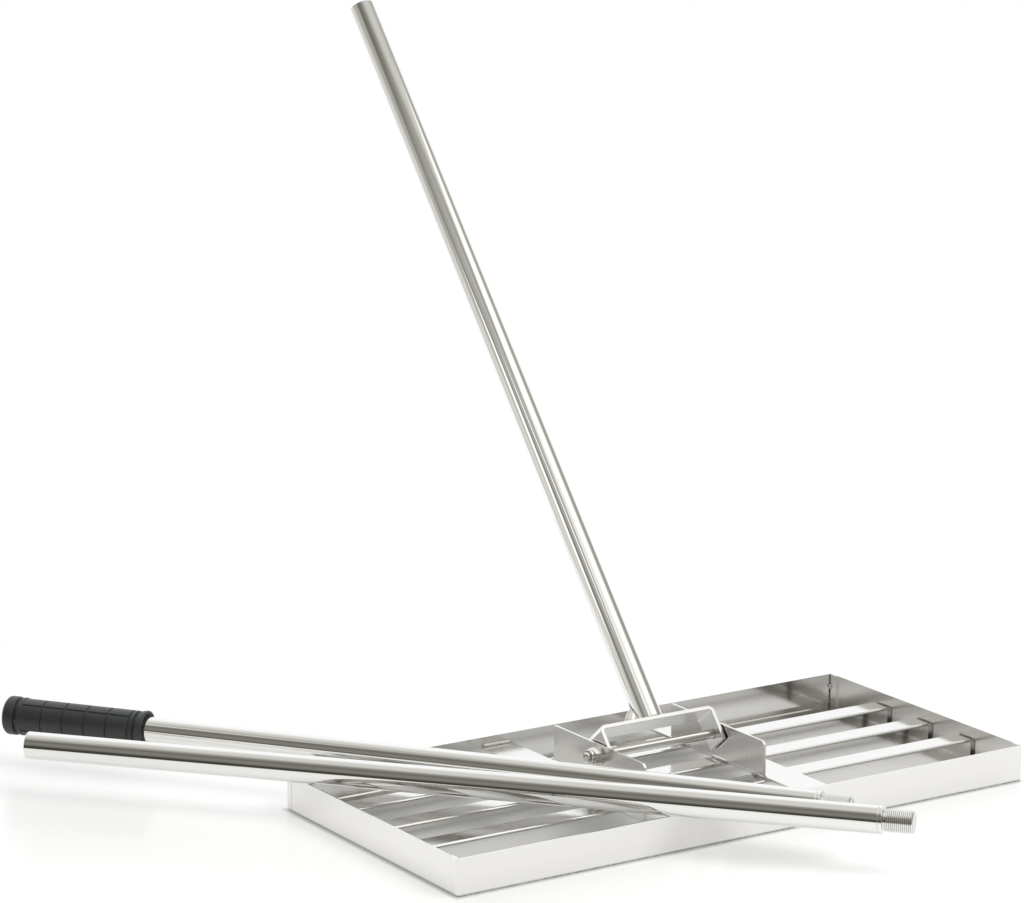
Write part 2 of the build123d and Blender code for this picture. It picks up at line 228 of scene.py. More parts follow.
def surface_place(tree):
    """Place on the surface, in the frame of its object."""
    return put(tree, "ShaderNodeTexCoord").outputs["Object"]


def split(tree, vector):
    """X, Y and Z of a vector."""
    return put(tree, "ShaderNodeSeparateXYZ", {0: vector}).outputs


def reckon(tree, operation, first, second=0.0, third=0.0):
    """Result of a sum on one to three values."""
    return put(tree, "ShaderNodeMath", {0: first, 1: second, 2: third}, operation=operation).outputs[0]


def remapped(tree, value, low, high, to_low=0.0, to_high=1.0):
    """Value moved smoothly from one range to another."""
    values = {"Value": value, "From Min": low, "From Max": high, "To Min": to_low, "To Max": to_high}
    return put(tree, "ShaderNodeMapRange", values, interpolation_type="SMOOTHSTEP").outputs["Result"]


def blended(tree, share, first, second):
    """Colour between two others."""
    ends = [end if isinstance(end, NodeSocket) else (*end, 1.0) for end in (first, second)]
    return put(tree, "ShaderNodeMix", {0: share, 6: ends[0], 7: ends[1]}, data_type="RGBA").outputs[2]


def stretched(tree, vector, scale):
    """Place on the surface, scaled along each axis."""
    return put(tree, "ShaderNodeVectorMath", {0: vector, 1: scale}, operation="MULTIPLY").outputs[0]


def cloudy(tree, vector, scale, detail=3.0, roughness=0.55):
    """Value of soft noise."""
    values = {"Vector": vector, "Scale": scale, "Detail": detail, "Roughness": roughness}
    return put(tree, "ShaderNodeTexNoise", values).outputs["Fac"]


# Kinds of group sockets
VECTOR = "NodeSocketVector"
VALUE = "NodeSocketFloat"


def new_group(name, inputs, outputs):
    """Empty shader group with named inputs and named values out, and the sockets inside it."""
    tree = bpy.data.node_groups.new(name, "ShaderNodeTree")
    for socket, kind in inputs.items():
        tree.interface.new_socket(socket, in_out="INPUT", socket_type=kind)
    for socket in outputs:
        tree.interface.new_socket(socket, in_out="OUTPUT", socket_type=VALUE)
    return tree, tree.nodes.new("NodeGroupInput").outputs, tree.nodes.new("NodeGroupOutput").inputs


def shared(tree, group, values):
    """Outputs of a shader group placed in a material."""
    return put(tree, "ShaderNodeGroup", values, node_tree=bpy.data.node_groups[group]).outputs


def make_brushing_group():
    """Fine parallel lines of a brushed or drawn surface."""
    tree, given, out = new_group("Brushing", {"Vector": VECTOR, "Stretch": VECTOR}, ("Height", "Streaks"))
    place = stretched(tree, given["Vector"], given["Stretch"])
    fine = cloudy(tree, place, 1.0, 4.0, 0.65)
    broad = cloudy(tree, place, 0.13, 2.0, 0.5)
    tree.links.new(fine, out["Height"])
    half_broad = reckon(tree, "MULTIPLY", broad, 0.5)
    tree.links.new(reckon(tree, "MULTIPLY_ADD", fine, 0.5, half_broad), out["Streaks"])


# Scratches: turns of their sets about an axis, and the scale of noise along and across them
SCRATCH_TURNS = (0.35, -0.6, 1.3)
SCRATCH_AXIS = (0.4, 0.5, 0.77)
SCRATCH_STRETCH = (9.0, 700.0, 500.0)


def make_handling_group():
    """Smudges and stray scratches from handling."""
    inputs = {"Vector": VECTOR, "Size": VALUE}
    tree, given, out = new_group("Handling marks", inputs, ("Smudge", "Scratches"))
    patches = cloudy(tree, given["Vector"], given["Size"], 5.0, 0.6)
    tree.links.new(remapped(tree, patches, 0.48, 0.72), out["Smudge"])
    lines = None
    for angle in SCRATCH_TURNS:
        values = {"Vector": given["Vector"], "Angle": angle, "Axis": SCRATCH_AXIS}
        turned = put(tree, "ShaderNodeVectorRotate", values).outputs[0]
        thin = cloudy(tree, stretched(tree, turned, SCRATCH_STRETCH), 1.0, 1.0, 0.4)
        line = remapped(tree, thin, 0.73, 0.77)
        lines = line if lines is None else reckon(tree, "MAXIMUM", lines, line)
    tree.links.new(lines, out["Scratches"])


def make_corner_shade_and_dirt_group():
    """Share of painted shade and dirt in inner corners, from ambient occlusion broken up by noise."""
    tree, given, out = new_group("Corner shade and dirt", {"Vector": VECTOR, "Reach": VALUE}, ("Mask",))
    seen_round = put(tree, "ShaderNodeAmbientOcclusion", {"Distance": given["Reach"]}, samples=8)
    shut = remapped(tree, seen_round.outputs["AO"], 0.62, 0.2)
    speckle = remapped(tree, cloudy(tree, given["Vector"], 260.0, 4.0), 0.3, 0.7)
    tree.links.new(reckon(tree, "MULTIPLY", shut, speckle), out["Mask"])


def empty_tree(owner):
    """Node tree of a material or a world, with nothing in it."""
    owner.use_nodes = True
    owner.node_tree.nodes.clear()
    return owner.node_tree


def new_material(name):
    """Material, its tree, the inputs of its shader and the place on the surface."""
    made = bpy.data.materials.new(name)
    FINISHES[name] = made
    tree = empty_tree(made)
    shader = put(tree, "ShaderNodeBsdfPrincipled")
    put(tree, "ShaderNodeOutputMaterial", {"Surface": shader.outputs[0]})
    return made, tree, shader.inputs, surface_place(tree)


def bumped(tree, height, distance, strength):
    """Normal of a surface with small heights."""
    values = {"Height": height, "Distance": distance, "Strength": strength}
    return put(tree, "ShaderNodeBump", values).outputs["Normal"]


# Scale of the brushing along each axis of a piece, small the way its lines run
ALONG_X = (6.0, 1500.0, 1500.0)
ALONG_Y = (1500.0, 6.0, 1500.0)
ALONG_TUBE = (1400.0, 1400.0, 5.0)
ROUND_SCREW = (500.0, 500.0, 4000.0)
ALL_WAYS = (1200.0, 1200.0, 1200.0)

# What smudges, scratches and the corner mask of painted shade and dirt add to the roughness of steel
SMUDGE_BLUR = 0.05
SCRATCH_BLUR = 0.04
SHADE_AND_DIRT_BLUR = 0.25

# Height of the brushing, and the depth of scratches as a share of it
BRUSHING_HEIGHT = 0.02 * MM
SCRATCH_DEPTH = 0.15


def brushed_steel(
    name, colour, roughness, stretch, settings,
    spread=0.06, depth=0.5, marks=14.0, shade_and_dirt_reach=4 * MM, shade_and_dirt_share=0.8,
):
    """Bright steel with brushing along one way, smudges, scratches, and painted shade with dirt in its
    corners.
    """
    made, tree, shader, place = new_material(name)
    brushing = shared(tree, "Brushing", {"Vector": place, "Stretch": stretch})
    handling = shared(tree, "Handling marks", {"Vector": place, "Size": marks})
    # Painted shade with dirt: a mask from ambient occlusion that darkens inner corners
    dirt = shared(tree, "Corner shade and dirt", {"Vector": place, "Reach": shade_and_dirt_reach})["Mask"]
    dull = [(1 - spread) * part for part in colour]
    bright = blended(tree, brushing["Streaks"], dull, colour)
    shaded_and_dirty = reckon(tree, "MULTIPLY", dirt, shade_and_dirt_share)
    tree.links.new(blended(tree, shaded_and_dirty, bright, settings.shade_and_grime_colour), shader["Base Color"])
    rough = reckon(tree, "MULTIPLY_ADD", brushing["Streaks"], spread, roughness - spread / 2)
    rough = reckon(tree, "MULTIPLY_ADD", handling["Smudge"], SMUDGE_BLUR, rough)
    rough = reckon(tree, "MULTIPLY_ADD", handling["Scratches"], SCRATCH_BLUR, rough)
    tree.links.new(reckon(tree, "MULTIPLY_ADD", dirt, SHADE_AND_DIRT_BLUR, rough), shader["Roughness"])
    relief = reckon(tree, "MULTIPLY_ADD", handling["Scratches"], -SCRATCH_DEPTH, brushing["Height"])
    tree.links.new(bumped(tree, relief, BRUSHING_HEIGHT, depth), shader["Normal"])
    shader["Metallic"].default_value = 1.0
    return made


# Screw ends: roughness over the tubes', and shares of a groove's depth where painted shade starts and is
# full
TURNED_BLUR = 0.08
SHADE_STARTS = 0.4
SHADE_FULL = 0.95


def screw_steel(steel, screw):
    """Turned steel, with painted shade darkening the grooves of its screw."""
    duller = steel.tube_roughness + TURNED_BLUR
    made = brushed_steel(
        "turned_steel", steel.tube_colour, duller, ROUND_SCREW, steel,
        spread=0.05, depth=0.4, shade_and_dirt_reach=6 * MM, shade_and_dirt_share=0.15,
    )
    tree = made.node_tree
    place = surface_place(tree)
    across = stretched(tree, place, (1.0, 1.0, 0.0))
    radius = put(tree, "ShaderNodeVectorMath", {0: across}, operation="LENGTH").outputs["Value"]
    depths = [screw.radius - share * screw.depth for share in (SHADE_STARTS, SHADE_FULL)]
    groove = remapped(tree, radius, *depths)
    past_collar = remapped(tree, split(tree, place)["Z"], screw.collar, screw.collar + screw.neck)
    # Painted shade in the grooves: darker the deeper the surface lies, starting past the neck
    dark = reckon(tree, "MULTIPLY", reckon(tree, "MULTIPLY", groove, past_collar), screw.groove_shade)
    colour = next(node for node in tree.nodes if node.type == "BSDF_PRINCIPLED").inputs["Base Color"]
    clean = colour.links[0].from_socket
    tree.links.new(blended(tree, dark, clean, steel.shade_and_grime_colour), colour)


def nylon_plastic(settings):
    """Milky nylon of the lock nut's ring."""
    _, tree, shader, place = new_material("nylon_ring")
    grain = cloudy(tree, place, 900.0, 3.0)
    colour = settings.nylon_colour
    tree.links.new(blended(tree, grain, [0.9 * part for part in colour], colour), shader["Base Color"])
    tree.links.new(remapped(tree, grain, 0.2, 0.8, 0.38, 0.5), shader["Roughness"])


# Rubber: share and colour of dust in its grooves, and the height of its pebble
DUST_SHARE = 0.18
DUST_COLOUR = (0.22, 0.21, 0.19)
PEBBLE_HEIGHT = 0.06 * MM


def moulded_rubber(settings):
    """Black moulded rubber with a fine pebble, worn in patches, with painted highlights on its sharp edges
    and dust in its grooves.
    """
    _, tree, shader, place = new_material("moulded_rubber")
    handling = shared(tree, "Handling marks", {"Vector": place, "Size": 22.0})
    dust = shared(tree, "Corner shade and dirt", {"Vector": place, "Reach": 2.5 * MM})["Mask"]
    pebble = put(tree, "ShaderNodeTexVoronoi", {"Vector": place, "Scale": 1500.0}).outputs["Distance"]
    soft = cloudy(tree, place, 420.0, 4.0)
    # Painted highlight: sharp edges found by pointiness get the lighter worn colour, standing in for glints
    edges = remapped(tree, put(tree, "ShaderNodeNewGeometry").outputs["Pointiness"], 0.535, 0.59)
    rubbed_and_highlit = reckon(tree, "MAXIMUM", reckon(tree, "MULTIPLY", handling["Smudge"], 0.35), edges)
    colour = blended(tree, rubbed_and_highlit, settings.colour, settings.worn_and_highlight_colour)
    dusty = reckon(tree, "MULTIPLY", dust, DUST_SHARE)
    tree.links.new(blended(tree, dusty, colour, DUST_COLOUR), shader["Base Color"])
    rough = reckon(tree, "MULTIPLY_ADD", soft, 0.14, settings.roughness - 0.07)
    tree.links.new(reckon(tree, "MULTIPLY_ADD", rubbed_and_highlit, -0.12, rough), shader["Roughness"])
    relief = reckon(tree, "MULTIPLY_ADD", soft, 0.6, pebble)
    tree.links.new(bumped(tree, relief, PEBBLE_HEIGHT, 0.5), shader["Normal"])
    shader["Specular IOR Level"].default_value = 0.55


# Meshes


def finished_mesh(name, work):
    """Mesh data from an edited mesh, with smooth faces that all look outwards."""
    bmesh.ops.recalc_face_normals(work, faces=work.faces)
    mesh = bpy.data.meshes.new(name)
    work.to_mesh(mesh)
    work.free()
    mesh.shade_smooth()
    return mesh


def flat_mesh(name, points, material):
    """Mesh of one flat face."""
    mesh = bpy.data.meshes.new(name)
    mesh.from_pydata(points, [], [range(len(points))])
    mesh.materials.append(material)
    return mesh


def new_object(name, data):
    """Object in the scene's collection."""
    made = bpy.data.objects.new(name, data)
    bpy.context.scene.collection.objects.link(made)
    return made


def add_piece(name, mesh, material, node, place=None):
    """Piece that stands for a CAD node: it takes a finish, rides on the node's body, and the node is hidden.
    """
    piece = new_object(name, mesh)
    mesh.materials.append(FINISHES[material])
    if place is not None:
        piece.matrix_world = place
    even = piece.modifiers.new("even_normals", "WEIGHTED_NORMAL")
    even.keep_sharp = True
    even.weight = 100
    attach(piece, BODY_OF[node])
    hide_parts(node)


# Nearer points are joined, and flatter faces; sharper edges are rounded
SAME_PLACE = 1e-6
FLAT_ANGLE = math.radians(0.5)
SHARP_ANGLE = math.radians(38)


def softened(node, rounding, segments=2):
    """Copy of a node's mesh with its flat faces joined and its sharp edges rounded."""
    work = bmesh.new()
    work.from_mesh(frame["nodes"][node].data)
    bmesh.ops.remove_doubles(work, verts=work.verts, dist=SAME_PLACE)
    bmesh.ops.dissolve_limit(work, angle_limit=FLAT_ANGLE, verts=work.verts, edges=work.edges)
    sharp = [edge for edge in work.edges if edge.is_manifold and edge.calc_face_angle() > SHARP_ANGLE]
    bmesh.ops.bevel(
        work, geom=sharp, offset=rounding, segments=segments, profile=0.5, affect="EDGES", clamp_overlap=True
    )
    return finished_mesh(node, work)


def spread_along(node, axis):
    """First point, length and radius of a tube that lies along an axis."""
    low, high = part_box(node)
    middle = (low + high) / 2
    rays = [vertex.co - middle for vertex in frame["nodes"][node].data.vertices]
    reaches = [ray.dot(axis) for ray in rays]
    radius = max((ray - axis * reach).length for ray, reach in zip(rays, reaches))
    return middle + axis * min(reaches), max(reaches) - min(reaches), radius


def along(base, axis, drawn="Z"):
    """Place of a thing that is drawn along Z or -Z, with its Y as far up as it goes."""
    return Matrix.Translation(base) @ axis.to_track_quat(drawn, "Y").to_matrix().to_4x4()


def rounded_run(corners, steps=4):
    """Points of a closed outline of (radius, height, rounding) corners."""
    points = []
    for index, (radius, height, rounding) in enumerate(corners):
        here = Vector((radius, height))
        before = (Vector(corners[index - 1][:2]) - here).normalized()
        after = (Vector(corners[(index + 1) % len(corners)][:2]) - here).normalized()
        if rounding == 0:
            points.append(tuple(here))
            continue
        half = before.angle(after) / 2
        middle = here + (before + after).normalized() * rounding / math.sin(half)
        start = here + before * rounding / math.tan(half) - middle
        turn = (here + after * rounding / math.tan(half) - middle).angle_signed(start)
        for step in range(steps + 1):
            ray = start.copy()
            ray.rotate(Matrix.Rotation(turn * step / steps, 2))
            points.append(tuple(middle + ray))
    return points


def even_turns(sides):
    """Angles all round, evenly spaced."""
    return [FULL_TURN * side / sides for side in range(sides)]


def revolved(name, outline, turns, swell=None):
    """Mesh of a closed outline of (radius, height) points turned about Z, its radius changed by swell."""
    work = bmesh.new()
    rings = []
    for radius, height in outline:
        if radius < ON_AXIS:
            rings.append([work.verts.new((0, 0, height))])
            continue
        ring = []
        for turn in turns:
            reach = swell(radius, height, turn) if swell else radius
            ring.append(work.verts.new((reach * math.cos(turn), reach * math.sin(turn), height)))
        rings.append(ring)
    for ring, other in zip(rings, rings[1:] + rings[:1]):
        for side in range(len(turns)):
            corners = [ring[side % len(ring)], ring[(side + 1) % len(turns) % len(ring)]]
            corners += [other[(side + 1) % len(turns) % len(other)], other[side % len(other)]]
            corners = list(dict.fromkeys(corners))
            if len(corners) > 2:
                work.faces.new(corners)
    return finished_mesh(name, work)


def smooth_step(value):
    """Share that eases from 0 to 1."""
    share = min(1.0, max(0.0, value))
    return share * share * (3 - 2 * share)


def thread_groove(screw, height, turn):
    """Depth of a screw's groove, from 0 on a crest to 1 in a root."""
    phase = (height / screw.pitch - turn / FULL_TURN) % 1.0
    from_crest = abs(phase - 0.5) * 2
    return smooth_step((from_crest - screw.crest) / (1 - screw.crest))


def steps_between(low, high, pitch):
    """Heights from low to high, ten to each turn of a screw."""
    count = max(1, round((high - low) / pitch * 10))
    return [low + (high - low) * step / count for step in range(count + 1)]


# Share of the screw's depth that is cut into a socket, and the length over which the cut starts
SOCKET_SHARE = 0.8
SOCKET_START = 2 * MM

# Share of the bore that a plug fills
SPIGOT_SHARE = 0.99


def tube_mesh(name, length, radius, screw, socket):
    """Tube along Z from its plain end, with or without a screw socket at its far end."""
    end = screw.end_rounding
    corners = [(screw.bore, 0, end), (radius, 0, end), (radius, length, end)]
    if not socket:
        return revolved(name, rounded_run(corners + [(screw.bore, length, end)]), even_turns(screw.sides))
    mouth = [(screw.socket + screw.depth, length, 0)]
    floor = length - screw.socket_depth
    heights = steps_between(floor, length - screw.depth, screw.pitch)
    wall = [(screw.socket, height, 0) for height in reversed(heights)]
    inner = [(screw.bore, floor, 0)]

    def swell(reach, height, turn):
        """Inner wall cut by the screw's groove, fading out near its floor."""
        if abs(reach - screw.socket) > ON_AXIS or height <= floor:
            return reach
        cut = screw.depth * SOCKET_SHARE * thread_groove(screw, height, turn)
        return reach + cut * smooth_step((height - floor) / SOCKET_START)

    return revolved(name, rounded_run(corners + mouth + wall + inner), even_turns(screw.sides), swell)


def plug_mesh(name, radius, screw):
    """Screw end along Z: a spigot inside the tube below the origin, a collar, a neck and the screw."""
    end = screw.end_rounding
    root = screw.radius - screw.depth
    start = screw.collar + screw.neck
    tip = start + screw.thread
    spigot = screw.bore * SPIGOT_SHARE
    corners = [(spigot, -screw.spigot, 0), (spigot, 0, 0), (radius, 0, end * 0.4)]
    outline = rounded_run(corners + [(radius, screw.collar, end), (root, screw.collar, 0)])
    heights = steps_between(start, tip - screw.chamfer, screw.pitch)
    outline += [(screw.radius, height) for height in heights]
    outline += [(screw.radius - screw.chamfer, tip), (0, tip), (0, -screw.spigot)]

    def swell(reach, height, turn):
        """Crest cut by the screw's groove, running out at the neck."""
        if abs(reach - screw.radius) > ON_AXIS:
            return reach
        grown = smooth_step((height - start) / screw.pitch)
        return reach - screw.depth * (1 - grown + grown * thread_groove(screw, height, turn))

    return revolved(name, outline, even_turns(screw.sides), swell)


# Grip: air round the tube, and the lean of groove walls as a share of the groove's width
GRIP_AIR = 0.05 * MM
GROOVE_LEAN = 0.12


def grip_corners(grip, tube_radius):
    """Outline of the grip as (radius, height, rounding) corners, and where its blocks start and end."""
    body = tube_radius + grip.wall
    ring = body + grip.ring_rise
    bore = tube_radius + GRIP_AIR
    bead_start = grip.end_ring + grip.valley_width
    start = bead_start + grip.end_bead
    pitch = grip.block + grip.groove_width
    end = start + grip.blocks * pitch
    bead_end = end + grip.bead
    mouth = bead_end + grip.valley_width + grip.lip
    soft = grip.rounding
    corners = [(0, 0, 0), (ring, 0, grip.end_rounding), (ring, grip.end_ring - grip.ring_rise, 2 * soft)]
    corners += groove_corners(grip.end_ring, grip.valley_width, body, grip.valley_depth, soft)
    rise = grip.end_bead_rise
    bead = body + rise
    corners += [(bead, bead_start + rise, soft), (bead, start - rise, soft), (body, start, soft)]
    for block in range(1, grip.blocks + 1):
        place = start + block * pitch - grip.groove_width
        corners += groove_corners(place, grip.groove_width, body, grip.groove_depth, soft)
    corners += groove_corners(bead_end, grip.valley_width, body, grip.valley_depth, soft)
    corners += [(ring, mouth - grip.ring_rise, 2 * soft), (ring - grip.ring_rise, mouth, soft)]
    corners += [(ring - grip.lip_wall, mouth, soft * 0.5), (bore, mouth - grip.mouth_depth, soft)]
    corners += [(bore, grip.cap, 0), (0, grip.cap, 0)]
    return corners, start, end


def groove_corners(start, width, radius, depth, rounding):
    """Corners of a groove round a turned piece, its walls leaning outwards a little."""
    floor = radius - depth
    lean = GROOVE_LEAN * width
    end = start + width
    corners = [(radius, start, rounding), (floor, start + lean, rounding * 0.5)]
    return corners + [(floor, end - lean, rounding * 0.5), (radius, end, rounding)]


# Faces round the grip, and in shares of a flute's half width its floor, its wall and more faces
GRIP_SIDES = 96
FLUTE_FLOOR = 0.6
FLUTE_WALL = 0.7
FLUTE_STEPS = (-1.5, -1.1, -0.8, -0.5, 0, 0.5, 0.8, 1.1, 1.5)


def grip_mesh(grip, tube_radius):
    """Grip along Z from its closed end, with flutes along its blocks."""
    corners, start, end = grip_corners(grip, tube_radius)
    body = tube_radius + grip.wall
    half = grip.groove_width / 2
    places = [grip.flute_turn + FULL_TURN * flute / grip.flutes for flute in range(grip.flutes)]
    turns = set(even_turns(GRIP_SIDES))
    for place in places:
        turns |= {(place + share * half / body) % FULL_TURN for share in FLUTE_STEPS}

    def swell(reach, height, turn):
        """Block cut by the flutes, with rounded edges."""
        if not start <= height <= end or reach < body - grip.groove_depth:
            return reach
        nearest = min(abs((turn - place + math.pi) % FULL_TURN - math.pi) for place in places) * body
        cut = grip.groove_depth * (1 - smooth_step((nearest / half - FLUTE_FLOOR) / FLUTE_WALL))
        return min(reach, body - cut)

    return revolved("grip", rounded_run(corners, 3), sorted(turns), swell)


def ripple_of(screw, place):
    """Share of a weld bead's size left by its ripples at a place along it."""
    return 1 - screw.ripple * (1 - abs(math.cos(math.pi * place / screw.ripple_pitch)))


def lofted(work, sections):
    """Closed skin through sections with the same number of points."""
    rings = [[work.verts.new(point) for point in section] for section in sections]
    for ring, other in zip(rings, rings[1:]):
        for side in range(len(ring)):
            after = (side + 1) % len(ring)
            work.faces.new((ring[side], ring[after], other[after], other[side]))
    work.faces.new(rings[0])
    work.faces.new(rings[-1])


# Steps along and round a weld bead, and how far its ripples bow along it, as a share of its size
BEAD_STEPS = 96
BEAD_TURNS = 12
RIPPLE_BOW = 1.2


def bracket_beads(node, screw):
    """Weld beads at both ends of a bracket's foot, in the angle between foot and wall."""
    low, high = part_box(node)
    size = high.z - low.z
    length = high.x - low.x
    work = bmesh.new()
    for wall, inwards in ((low.y, 1), (high.y, -1)):
        sections = []
        for step in range(BEAD_STEPS + 1):
            place = length * step / BEAD_STEPS
            from_end = min(place, length - place)
            share = math.sqrt(max(0.02, 1 - max(0.0, 1 - from_end / size) ** 2))
            section = [(low.x + place, wall, low.z)]
            for turn in range(BEAD_TURNS + 1):
                angle = math.pi / 2 * turn / BEAD_TURNS
                lagged = place + RIPPLE_BOW * size * math.sin(2 * angle)
                reach = size * share * ripple_of(screw, lagged)
                away = wall + inwards * reach * math.cos(angle)
                section.append((low.x + place, away, low.z + reach * math.sin(angle)))
            sections.append(section)
        lofted(work, sections)
    return finished_mesh(node, work)


# Rounding of the tacks in the corners
TACK_ROUNDING = 0.1 * MM

# Beads at the lower tube's foot
FOOT_STEPS = 60
FOOT_TURNS = 8
FOOT_END = 0.25  # share of the size left at an end
FOOT_TAPER = 0.25  # share of the length that tapers at an end
FOOT_HOLLOW = 1.4  # power that makes the face hollow
FOOT_ROOT = 0.2 * MM  # depth inside the tube

# Half of the angle round the tube that each of them covers
LEFT_FOOT_REACH = math.radians(45)
RIGHT_FOOT_REACH = math.radians(50)


def foot_bead(node, radius, beads, half_strap, screw):
    """Beads of (turn, reach, toe, height) round the lower tube's foot, cut off at the edges of the strap."""
    work = bmesh.new()
    for middle, reach, toe, height in beads:
        sections = []
        for step in range(FOOT_STEPS + 1):
            angle = middle - reach + 2 * reach * step / FOOT_STEPS
            from_end = min(step, FOOT_STEPS - step) / FOOT_STEPS
            grown = FOOT_END + (1 - FOOT_END) * smooth_step(from_end / FOOT_TAPER)
            size = grown * ripple_of(screw, angle * radius)
            out_to = min(toe * size, half_strap / max(abs(math.sin(angle)), 0.01) - radius)
            section = [(radius - FOOT_ROOT, 0)]
            for turn in range(FOOT_TURNS + 1):
                slope = math.pi / 2 * turn / FOOT_TURNS
                out = radius + out_to * math.cos(slope) ** FOOT_HOLLOW
                section.append((out, height * size * math.sin(slope) ** FOOT_HOLLOW))
            sections.append([(out * math.cos(angle), out * math.sin(angle), up) for out, up in section])
        lofted(work, sections)
    return finished_mesh(node, work)


# Pieces


class RAKE_OT_finishes(Operator):
    """Make the finishes of every piece"""

    bl_idname = "rake.finishes"
    bl_label = "Make Finishes"

    def execute(self, context):
        steel = context.scene.rake_steel
        make_brushing_group()
        make_handling_group()
        make_corner_shade_and_dirt_group()
        sheet = steel.sheet_colour
        brushed_steel("sheet_along_x", sheet, steel.sheet_roughness, ALONG_X, steel)
        duller = steel.plate_roughness
        brushed_steel("plate_along_x", sheet, duller, ALONG_X, steel, spread=0.025, depth=0.08)
        brushed_steel("plate_along_y", sheet, duller, ALONG_Y, steel, spread=0.015, depth=0.03)
        brushed_steel(
            "drawn_tube", steel.tube_colour, steel.tube_roughness, ALONG_TUBE, steel,
            spread=0.04, depth=0.25, shade_and_dirt_reach=6 * MM, shade_and_dirt_share=0.15,
        )
        screw_steel(steel, context.scene.rake_screw)
        brushed_steel(
            "bolt_steel", steel.fastener_colour, steel.fastener_roughness, ALL_WAYS, steel,
            spread=0.1, depth=0.6, marks=60.0, shade_and_dirt_reach=2 * MM, shade_and_dirt_share=0.2,
        )
        brushed_steel(
            "bead_steel", steel.weld_colour, steel.weld_roughness, ALL_WAYS, steel,
            spread=0.16, depth=0.9, marks=90.0,
        )
        nylon_plastic(steel)
        moulded_rubber(context.scene.rake_grip)
        return {"FINISHED"}


class RAKE_OT_sheets(Operator):
    """Add the bent sheet pieces: tray walls, cross bars, brackets and yoke"""

    bl_idname = "rake.sheets"
    bl_label = "Add Sheet Pieces"

    def execute(self, context):
        rounding = context.scene.rake_steel.edge_rounding
        for node in ("front_wall", "back_wall", "front_bar", "middle_bar", "back_bar"):
            add_piece(node + "_sheet", softened(node, rounding), "sheet_along_x", node)
        yoke = softened("yoke", context.scene.rake_steel.yoke_rounding, 4)
        add_piece("yoke_sheet", yoke, "plate_along_x", "yoke")
        for node in ("left_end_wall", "right_end_wall", "left_bracket", "right_bracket"):
            add_piece(node + "_sheet", softened(node, rounding), "plate_along_y", node)
        return {"FINISHED"}


class RAKE_OT_welds(Operator):
    """Add the weld beads of the brackets, the corners and the lower tube's foot"""

    bl_idname = "rake.welds"
    bl_label = "Add Welds"

    def execute(self, context):
        screw = context.scene.rake_screw
        for node in ("left_bracket_welds", "right_bracket_welds"):
            add_piece(node + "_beads", bracket_beads(node, screw), "bead_steel", node)
        tacks = softened("corner_tack_welds", TACK_ROUNDING)
        add_piece("corner_tacks", tacks, "bead_steel", "corner_tack_welds")
        axis = AXIS_OF["lower_socket"]
        base, _, radius = spread_along("lower_tube", axis)
        low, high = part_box("tube_weld")
        leg = (high.x - low.x) / 2 - radius
        left = (-screw.left_bead_turn, LEFT_FOOT_REACH, screw.left_bead_toe, screw.left_bead_height)
        right = (math.pi, RIGHT_FOOT_REACH, leg, leg)
        bead = foot_bead("tube_weld", radius, (left, right), radius, screw)
        add_piece("tube_foot_beads", bead, "bead_steel", "tube_weld", along(base, axis))
        return {"FINISHED"}


class RAKE_OT_fasteners(Operator):
    """Add the pivot bolt, its washers, the lock nut and its nylon ring"""

    bl_idname = "rake.fasteners"
    bl_label = "Add Fasteners"

    def execute(self, context):
        rounding = context.scene.rake_steel.small_rounding
        washers = ("bolt_head_washer", "right_spacer_washer", "left_spacer_washer", "nut_washer")
        for node in ("pivot_bolt", "lock_nut") + washers:
            add_piece(node + "_steel", softened(node, rounding), "bolt_steel", node)
        add_piece("nylon_ring", softened("nylon_insert", rounding), "nylon_ring", "nylon_insert")
        return {"FINISHED"}


class RAKE_OT_tubes(Operator):
    """Add the handle tubes and their screw ends"""

    bl_idname = "rake.tubes"
    bl_label = "Add Tubes"

    def execute(self, context):
        screw = context.scene.rake_screw
        axis = AXIS_OF["lower_socket"]
        base, length, radius = spread_along("lower_tube", axis)
        lower = tube_mesh("lower_tube", length, radius, screw, True)
        add_piece("lower_tube_polished", lower, "drawn_tube", "lower_tube", along(base, axis))
        for section, socket in (("middle", True), ("upper", False)):
            way = AXIS_OF[section + "_thread"]
            tube = section + "_tube"
            plug = section + "_plug"
            run = -way if socket else way
            base, length, radius = spread_along(tube, run)
            mesh = tube_mesh(tube, length, radius, screw, socket)
            add_piece(tube + "_polished", mesh, "drawn_tube", tube, along(base, run))
            end = base if socket else base + way * length
            add_piece(plug + "_screw", plug_mesh(plug, radius, screw), "turned_steel", plug, along(end, way))
        return {"FINISHED"}


class RAKE_OT_grip(Operator):
    """Add the moulded rubber grip on the upper tube"""

    bl_idname = "rake.grip"
    bl_label = "Add Grip"

    def execute(self, context):
        grip = context.scene.rake_grip
        way = AXIS_OF["upper_thread"]
        near, _, radius = spread_along("upper_tube", way)
        place = along(near - way * grip.cap, way)
        add_piece("grip_rubber", grip_mesh(grip, radius), "moulded_rubber", "grip", place)
        return {"FINISHED"}


# Stage

